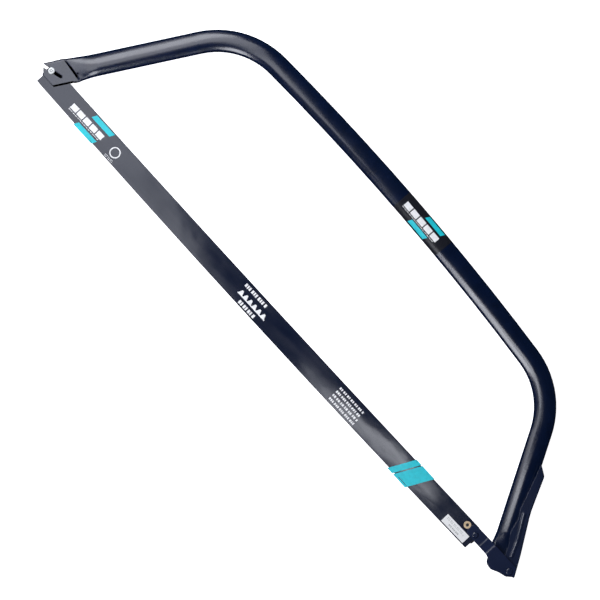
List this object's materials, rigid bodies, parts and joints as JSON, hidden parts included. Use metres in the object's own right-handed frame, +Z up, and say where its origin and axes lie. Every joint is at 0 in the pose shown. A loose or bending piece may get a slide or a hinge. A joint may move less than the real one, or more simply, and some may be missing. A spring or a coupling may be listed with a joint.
{
  "type": "bow saw",
  "caption": "Large bow saw: a bent oval-tube bow with an over-centre tension lever and link plates that pull a long toothed blade, which is covered by a slip-off guard.",
  "frame": {"origin": "middle of the underside of the closed saw's box, lying on its side", "axes": "+X along the blade from the front bolt to the tension lever, +Y from the teeth to the bow, +Z up across the saw"},
  "size_m": [1.0004, 0.2931, 0.031],
  "materials": {
    "navy_paint": "gloss",
    "decal_film": "gloss",
    "zinc": "satin",
    "painted_rivet": "gloss",
    "bare_steel": "satin",
    "blade_steel": "satin",
    "guard_plastic": "printed",
    "brass": "polished",
    "label_paper": "matt"
  },
  "bodies": {
    "frame": {"frame_tube": "navy_paint", "frame_decal": "decal_film", "front_bolt": "zinc", "front_nut": "zinc", "front_washer_upper": "zinc", "front_washer_lower": "zinc", "lever_pivot_rivet": "painted_rivet", "lever_pivot_spacer_upper": "bare_steel", "lever_pivot_spacer_lower": "bare_steel"},
    "lever": {"tension_lever": "navy_paint", "link_pivot_spacer": "bare_steel"},
    "link": {"link_plate_upper": "navy_paint", "link_plate_lower": "navy_paint", "link_pivot_rivet": "painted_rivet", "link_pivot_washer_upper": "bare_steel", "link_pivot_washer_lower": "bare_steel", "blade_pin": "painted_rivet"},
    "blade": {"saw_blade": "blade_steel"},
    "guard": {"blade_guard": "guard_plastic", "guard_eyelet": "brass", "guard_label": "label_paper"}
  },
  "joints": [
    {"name": "lever_pivot", "type": "hinge", "parent": "frame", "child": "lever", "pos_m": [0.4658, -0.12302, 0.0155], "axis": [0, 0, 1], "range_deg": [-75, 0]},
    {"name": "link_pivot", "type": "hinge", "parent": "lever", "child": "link", "pos_m": [0.4888, -0.11682, 0.0155], "axis": [0, 0, 1], "range_deg": [0, 69]},
    {"name": "blade_pivot", "type": "hinge", "parent": "link", "child": "blade", "pos_m": [0.4178, -0.11752, 0.0155], "axis": [0, 0, 1], "range_deg": [0, 4.69]},
    {"name": "guard_slide", "type": "slide", "parent": "blade", "child": "guard", "axis": [0, -1, 0], "range_m": [0, 0.045]}
  ],
  "couplings": [
    {"joint": "link_pivot", "follows": "lever_pivot", "ratio": -0.92},
    {"joint": "blade_pivot", "follows": "lever_pivot", "ratio": -0.0625}
  ]
}
